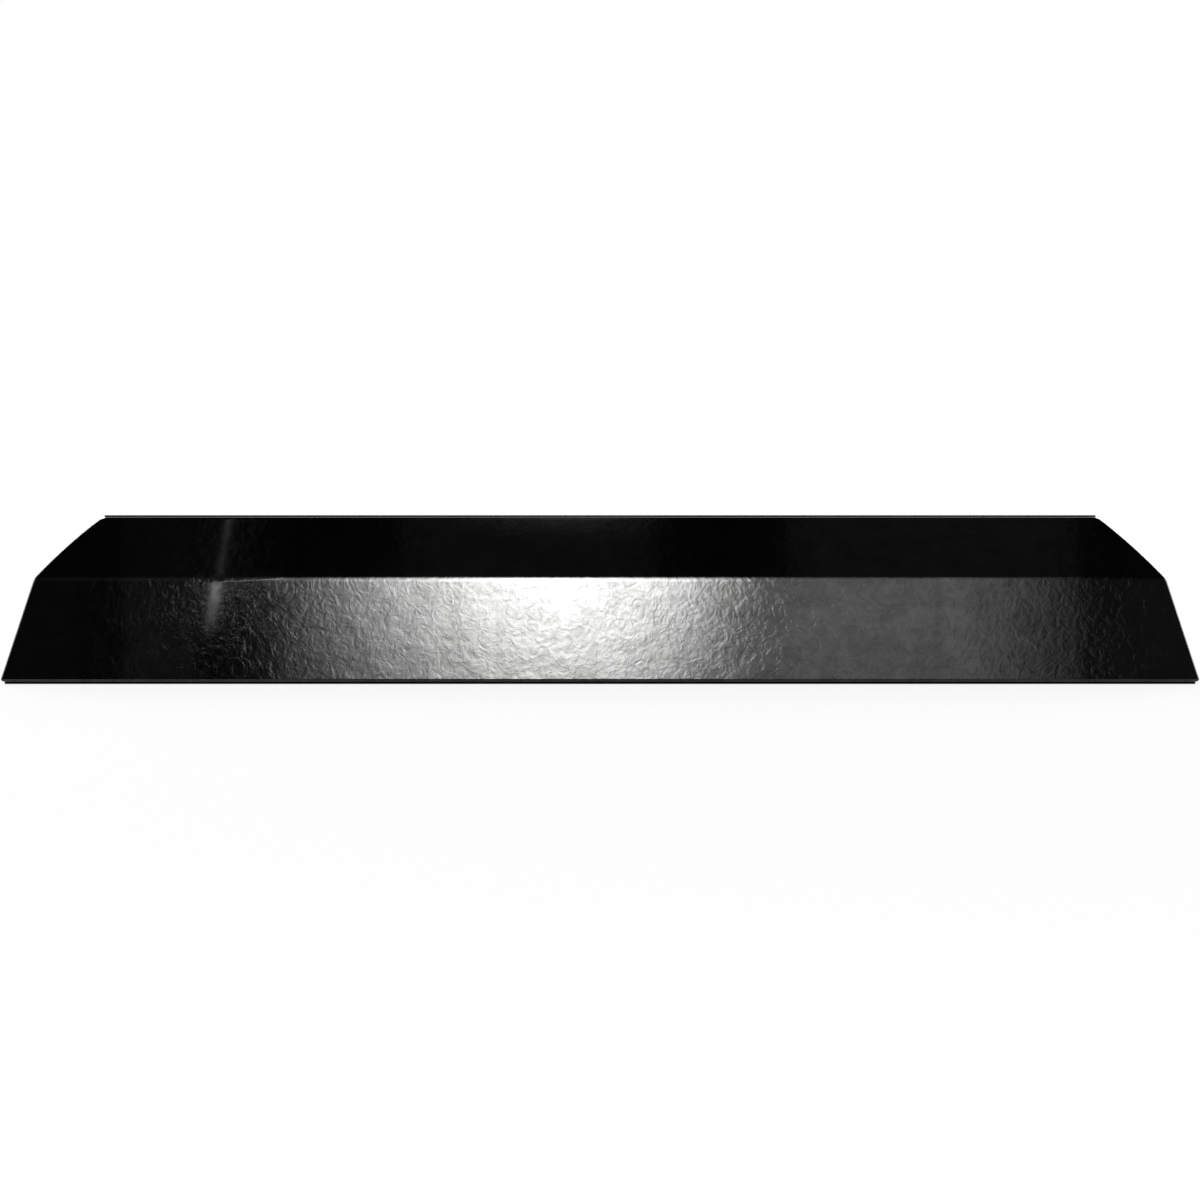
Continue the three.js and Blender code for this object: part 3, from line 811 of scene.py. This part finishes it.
def make_spring_washer(station, metal):
    """A square wire wound for not quite a turn, flattened by the nut but still a little sprung."""
    low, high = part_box(f"spring_washer_{station}")
    stud_low, stud_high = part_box(f"clinch_stud_{station}")
    x, y = (low.x + high.x) / 2, (stud_low.y + stud_high.y) / 2
    outer = (high.x - low.x) / 2
    bm = bmesh.new()
    base, top = low.z, high.z - SPRING_RISE
    wire = [(HOLE_RADIUS, base), (outer, base), (outer, top), (HOLE_RADIUS, top)]
    section = [bm.verts.new((x + radius, y, z)) for radius, z in wire]
    bm.faces.new(section)
    ease(bm, section, SPRING_WIRE_ROUND, 2, "VERTICES")
    bmesh.ops.delete(bm, geom=bm.faces[:], context="FACES_ONLY")
    bmesh.ops.spin(bm, geom=bm.verts[:] + bm.edges[:], cent=(x, y, 0), axis=(0, 0, 1),
                   dvec=(0, 0, SPRING_RISE / SPRING_STEPS), angle=2 * math.pi - SPRING_GAP,
                   steps=SPRING_STEPS)
    close_holes(bm)
    outwards(bm)
    turn = Matrix.Rotation(math.pi / 2 + SPRING_GAP / 2, 3, "Z")
    bmesh.ops.rotate(bm, verts=bm.verts[:], cent=(x, y, 0), matrix=turn)
    piece(f"spring_washer_{station}_coil", bm, "plate", [f"spring_washer_{station}"],
          [metal], smooth=35)


def make_wing_nut(station, metal):
    """A turned hub and two wings, made one casting with small fillets."""
    low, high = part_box(f"wing_nut_{station}")
    x, y = (low.x + high.x) / 2, (low.y + high.y) / 2
    bearing, hub_end = high.z, high.z - NUT_HUB_HEIGHT
    mouth = HOLE_RADIUS + NUT_CHAMFER
    profile = [
        (mouth, bearing), (NUT_BEARING_RADIUS - 0.3 * MM, bearing), (NUT_BEARING_RADIUS, bearing - NUT_ROUND),
        (NUT_END_RADIUS, hub_end + NUT_ROUND), (NUT_END_RADIUS - 0.45 * MM, hub_end),
        (HOLE_RADIUS, hub_end), (HOLE_RADIUS, bearing - NUT_CHAMFER), (mouth, bearing),
    ]
    bm = turned(profile, x, y)
    for side in (-1, 1):
        join_mesh(bm, "wing", wing(side, x, y, bearing, low.z))
    nut = piece(f"wing_nut_{station}_casting", bm, f"nut_{station}", [f"wing_nut_{station}"],
                [metal], level_flats=False)
    shrink = nut.modifiers.new("one_casting", "REMESH")
    shrink.mode = "VOXEL"
    shrink.voxel_size = CASTING_GRAIN
    shrink.use_smooth_shade = True
    fair = nut.modifiers.new("cast_fillets", "SMOOTH")
    fair.factor, fair.iterations = 0.5, 5


def wing(side, x, y, bearing, low):
    """A thick plate whose upright outline starts in the hub, sweeps out and ends in a round lobe."""
    bm = bmesh.new()
    centre = Vector((x + side * (NUT_HALF_SPAN - WING_LOBE), y, low + WING_LOBE))
    inside, shoulder = 2.9 * MM, bearing - 1.4 * MM
    root = [(inside, bearing - 5.9 * MM), (inside, shoulder), (5.6 * MM, shoulder)]
    points = [bm.verts.new((x + side * out, y, height)) for out, height in root]
    start = 0.35
    tip = bm.verts.new(centre + WING_LOBE * Vector((side * math.cos(start), 0, math.sin(start))))
    arc = bmesh.ops.spin(bm, geom=[tip], cent=centre, axis=(0, 1, 0), angle=side * math.radians(225),
                         steps=16)
    last = vertices_in(arc["geom_last"])[0]
    for pair in ((points[0], points[1]), (points[1], points[2]), (points[2], tip), (last, points[0])):
        bm.edges.new(pair)
    bmesh.ops.contextual_create(bm, geom=bm.edges[:])
    bmesh.ops.translate(bm, verts=bm.verts[:], vec=(0, -WING_THICKNESS / 2, 0))
    thick = bmesh.ops.extrude_face_region(bm, geom=bm.faces[:])["geom"]
    bmesh.ops.translate(bm, verts=vertices_in(thick), vec=(0, WING_THICKNESS, 0))
    outwards(bm)
    round_sharp(bm, WING_ROUND, angle=70)
    return bm


# ---------------------------------------------------------------- studio

def strip_light(tree, x, elevation, across, up, edge, rise, radiance):
    """A lit patch of the tent between two places across and two elevations, with soft edges."""
    left = tree.ramp(x, across[0] - edge[0], across[0] + edge[0])
    right = 1.0 - tree.ramp(x, across[1] - edge[1], across[1] + edge[1])
    low = tree.ramp(elevation, up[0] - rise, up[0] + rise)
    high = 1.0 - tree.ramp(elevation, up[1] - rise, up[1] + rise)
    return left * right * low * high * radiance


def stage_piece(name, bm, finish, mirrored_only=False):
    """Adds a part of the studio; one that is mirrored only is there for gloss and for nothing else."""
    mesh = mesh_from(name, bm)
    mesh.materials.append(finish)
    made = add_object(name, mesh)
    if mirrored_only:
        made.visible_camera = made.visible_diffuse = made.visible_shadow = False
    return made


def make_tent():
    """A dark half-tube of cloth round the front and over the top, whose lit patches the enamel mirrors.

    Each patch: left and right, low and high in degrees, the softness of each side, of both heights, radiance.
    """
    bm = bmesh.new()
    out = Vector((0, -math.cos(TENT_START), math.sin(TENT_START)))
    first = TENT_MIDDLE + TENT_RADIUS * out
    ends = [bm.verts.new(first + Vector((x, 0, 0))) for x in (-TENT_HALF, TENT_HALF)]
    edge = bm.edges.new(ends)
    bmesh.ops.spin(bm, geom=ends + [edge], cent=TENT_MIDDLE, axis=(1, 0, 0), angle=-TENT_SWEEP, steps=64)
    made, tree = material("tent_cloth")
    x, y, z = tree.split(tree.place())
    rise = {0: z - TENT_MIDDLE.z, 1: TENT_MIDDLE.y - y}
    turn = tree.node("ShaderNodeMath", {"operation": "ARCTAN2"}, rise)
    elevation = turn * math.degrees(1)
    patches = [
        ((0.0, 0.068), (24, 52), (0.70, 0.277), 10.0, 102.0),
        ((0.30, 0.80), (17, 52), (0.10, 0.14), 9.0, 1.35),
        ((0.20, 0.934), (14, 60), (0.02, SHARP), 6.0, 0.34),
        ((0.670, 0.682), (26, 60), (SHARP, SHARP), 2.0, 0.6),
        ((-0.93, -0.79), (14, 50), (SHARP, SHARP), 4.0, 0.09),
        ((-2.2, -1.024), (14, 50), (SHARP, SHARP), 4.0, 0.026),
        ((0.934, 1.03), (14, 50), (SHARP, SHARP), 4.0, 0.055),
        ((1.03, 2.2), (14, 50), (SHARP, SHARP), 4.0, 0.075),
        ((-0.93, -0.80), (62, 130), (SHARP, SHARP), 4.0, 0.02),
        ((-0.39, 0.11), (62, 130), (SHARP, 0.01), 4.0, 0.045),
        ((-0.17, 0.03), (89, 130), (0.14, 0.12), 7.0, 0.28),
        ((0.366, 0.934), (62, 130), (SHARP, SHARP), 4.0, 0.055),
        ((1.03, 2.2), (62, 130), (SHARP, SHARP), 4.0, 0.015),
    ]
    glow = None
    for across, up, edge, rise, radiance in patches:
        patch = strip_light(tree, x, elevation, across, up, edge, rise, radiance)
        glow = patch if glow is None else glow + patch
    post = strip_light(tree, x, elevation, (0.651, 0.668), (5, 60), (SHARP, SHARP), 2.0, 0.4)
    glow = glow * (1.0 - post)
    slants = [
        (x - 0.0056 * (elevation - 27.7), (-0.752, -0.734), (25.6, 50), 2.2, 7.5),
        (x - 0.00103 * (elevation - 71), (-0.750, -0.740), (62, 100), 4.0, 0.80),
    ]
    for slant, across, up, rise, radiance in slants:
        glow = glow + strip_light(tree, slant, elevation, across, up, (SHARP, SHARP), rise, radiance)
    tree.surface(tree.glow(glow, (1, 0.995, 0.985, 1)))
    tent = stage_piece("tent", bm, made, mirrored_only=True)


def make_floor():
    """A pale floor: white where the camera sees it, with a little real shade near the plate."""
    bm = bmesh.new()
    bmesh.ops.create_grid(bm, x_segments=1, y_segments=1, size=FLOOR_HALF)
    made, tree = material("pale_floor")
    chalk = tree.node("ShaderNodeBsdfDiffuse", None, {"Color": (0.82, 0.82, 0.82, 1)})
    lit = tree.glow(1.0)
    seen = tree.node("ShaderNodeLightPath", output="Is Camera Ray")
    far = tree.node("ShaderNodeVectorMath", {"operation": "LENGTH"}, {0: tree.place()}, output=1)
    bare = 1.0 - 0.2 * (1.0 - tree.ramp(far, 0.45, 1.1))
    tree.surface(tree.node("ShaderNodeMixShader", None, {0: seen * bare, 1: chalk, 2: lit}))
    floor = stage_piece("floor", bm, made)
    floor.location.z = -FLOOR_DROP


def make_world():
    """A white room to the eye, dim to what mirrors it."""
    world = bpy.data.worlds.new("studio")
    bpy.context.scene.world = world
    tree = Tree(world)
    seen = tree.node("ShaderNodeLightPath", output="Is Camera Ray")
    mirrored = tree.node("ShaderNodeLightPath", output="Is Glossy Ray")
    dim = {"Color": (0.95, 0.97, 1, 1), "Strength": 0.5 - 0.42 * mirrored}
    room = tree.node("ShaderNodeBackground", None, dim)
    white = tree.node("ShaderNodeBackground", None, {"Color": (1, 1, 1, 1), "Strength": 1.0})
    mixed = tree.node("ShaderNodeMixShader", None, {0: seen, 1: room, 2: white})
    tree.node("ShaderNodeOutputWorld", None, {"Surface": mixed})


def make_back_card():
    """A low white card behind the cooker side, for the bright metal to mirror."""
    bm = bmesh.new()
    upright = Matrix.Translation((0, 2.6, 0.5)) @ Matrix.Rotation(math.pi / 2, 4, "X")
    size = Matrix.Diagonal((2.4, 0.45, 1, 1))
    bmesh.ops.create_grid(bm, x_segments=1, y_segments=1, size=1, matrix=upright @ size)
    made, tree = material("white_card")
    tree.surface(tree.glow(0.6))
    card = stage_piece("back_card", bm, made, mirrored_only=True)


def soft_light(name, place, target, size, power):
    data = bpy.data.lights.new(name, "AREA")
    data.shape, data.size, data.energy = "SQUARE", size, power
    lamp = add_object(name, data)
    lamp.location = place
    lamp.rotation_euler = (Vector(target) - Vector(place)).to_track_quat("-Z", "Y").to_euler()


def make_camera():
    data = bpy.data.cameras.new("view")
    data.angle = VIEW_ANGLE
    camera = add_object("view", data)
    aim = Vector((0, FOOT_Y, VIEW_HEIGHT))
    back = Vector((0, -math.cos(VIEW_DOWN), math.sin(VIEW_DOWN)))
    camera.location = aim + back * VIEW_DISTANCE
    camera.rotation_euler = (-back).to_track_quat("-Z", "Y").to_euler()
    bpy.context.scene.camera = camera


# ---------------------------------------------------------------- the scene

make_camera()
enamel, ground = gloss_enamel(), ground_enamel()
sheet_metal, plated, rubber = galvanised(), zinc_plate(), seal_rubber()
make_shell(enamel, ground)
make_stiffener()
make_gussets(sheet_metal)
make_seals(rubber)
for station in STATIONS:
    make_bracket(station, sheet_metal)
    make_stud(station, plated)
    make_washer(station, plated)
    make_spring_washer(station, plated)
    make_wing_nut(station, plated)

make_tent()
make_back_card()
make_floor()
make_world()
soft_light("key", (-0.5, -1.6, 1.9), (0, 0, 0.05), 1.0, 18)
soft_light("back_left", (-1.3, 1.7, 1.3), (0, 0, 0.06), 1.0, 26)
soft_light("back_right", (1.4, 1.5, 0.9), (0, 0, 0.06), 0.8, 16)
soft_light("side_left", (-2.0, -0.1, 0.9), (0, 0, 0.06), 0.8, 10)
soft_light("side_right", (2.0, -0.1, 0.9), (0, 0, 0.06), 0.8, 10)
bpy.context.scene.view_settings.view_transform = "Standard"
